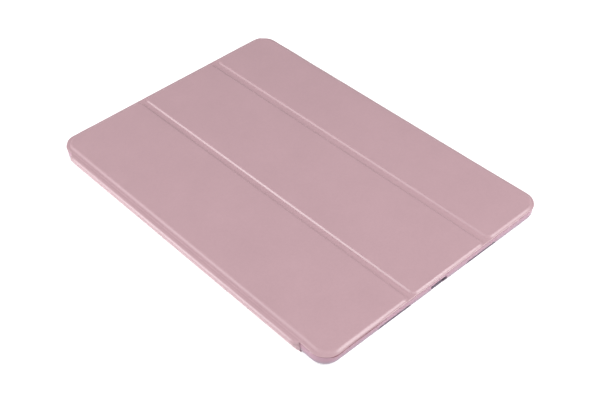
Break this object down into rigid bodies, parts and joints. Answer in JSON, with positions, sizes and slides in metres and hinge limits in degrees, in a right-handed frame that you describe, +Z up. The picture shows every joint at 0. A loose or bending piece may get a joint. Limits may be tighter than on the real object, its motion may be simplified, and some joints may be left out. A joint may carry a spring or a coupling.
{
  "type": "tablet case",
  "caption": "Folding cover case for a slim tablet: a moulded back tray with a hinged spine and a creased leather-look cover that folds in panels.",
  "frame": {"origin": "centre of the shell's flat back face, which lies on the table", "axes": "+X across the case from the spine to the free edge, +Y along it from the charging-port edge to the button edge, +Z up through the shell to the closed cover"},
  "size_m": [0.1797, 0.255, 0.0098],
  "materials": {
    "cover_leather": "fine-grained soft-touch synthetic leather, satin",
    "microfibre": "brushed microfibre lining",
    "shell_plastic": "frosted moulded polycarbonate",
    "stiff_board": "pressed stiffening board",
    "magnet_plating": "bright nickel plating",
    "strip_steel": "rolled strip",
    "adhesive_film": "clear adhesive film"
  },
  "bodies": {
    "shell": {"back_shell": "shell_plastic", "hinge_flap_skin": "cover_leather", "flap_tape": "adhesive_film"},
    "spine": {"lower_hinge_web": "cover_leather", "spine_skin": "cover_leather", "spine_board": "stiff_board", "spine_lining": "microfibre", "upper_hinge_web": "cover_leather", "upper_hinge_lining": "microfibre"},
    "panel_1": {"panel_1_skin": "cover_leather", "panel_1_board": "stiff_board", "panel_1_lining": "microfibre", "stand_plate": "strip_steel", "fold_1_web": "cover_leather", "fold_1_lining": "microfibre"},
    "panel_2": {"panel_2_skin": "cover_leather", "panel_2_board": "stiff_board", "panel_2_lining": "microfibre", "fold_2_web": "cover_leather", "fold_2_lining": "microfibre"},
    "panel_3": {"panel_3_skin": "cover_leather", "panel_3_board": "stiff_board", "panel_3_lining": "microfibre", "closing_magnets": "magnet_plating", "wake_magnet": "magnet_plating"}
  },
  "joints": [
    {"name": "spine_hinge", "type": "hinge", "parent": "shell", "child": "spine", "pos_m": [-0.0892, 0, 0.0012], "axis": [0, -1, 0], "range_deg": [0, 90], "deforming": ["lower_hinge_web"]},
    {"name": "cover_hinge", "type": "hinge", "parent": "spine", "child": "panel_1", "pos_m": [-0.0894, 0, 0.0077], "axis": [0, -1, 0], "range_deg": [0, 180], "deforming": ["upper_hinge_web", "upper_hinge_lining"]},
    {"name": "fold_1", "type": "hinge", "parent": "panel_1", "child": "panel_2", "pos_m": [-0.0227, 0, 0.00985], "axis": [0, -1, 0], "range_deg": [0, 120], "deforming": ["fold_1_web", "fold_1_lining"]},
    {"name": "fold_2", "type": "hinge", "parent": "panel_2", "child": "panel_3", "pos_m": [0.0398, 0, 0.00985], "axis": [0, -1, 0], "range_deg": [0, 170], "deforming": ["fold_2_web", "fold_2_lining"]}
  ]
}
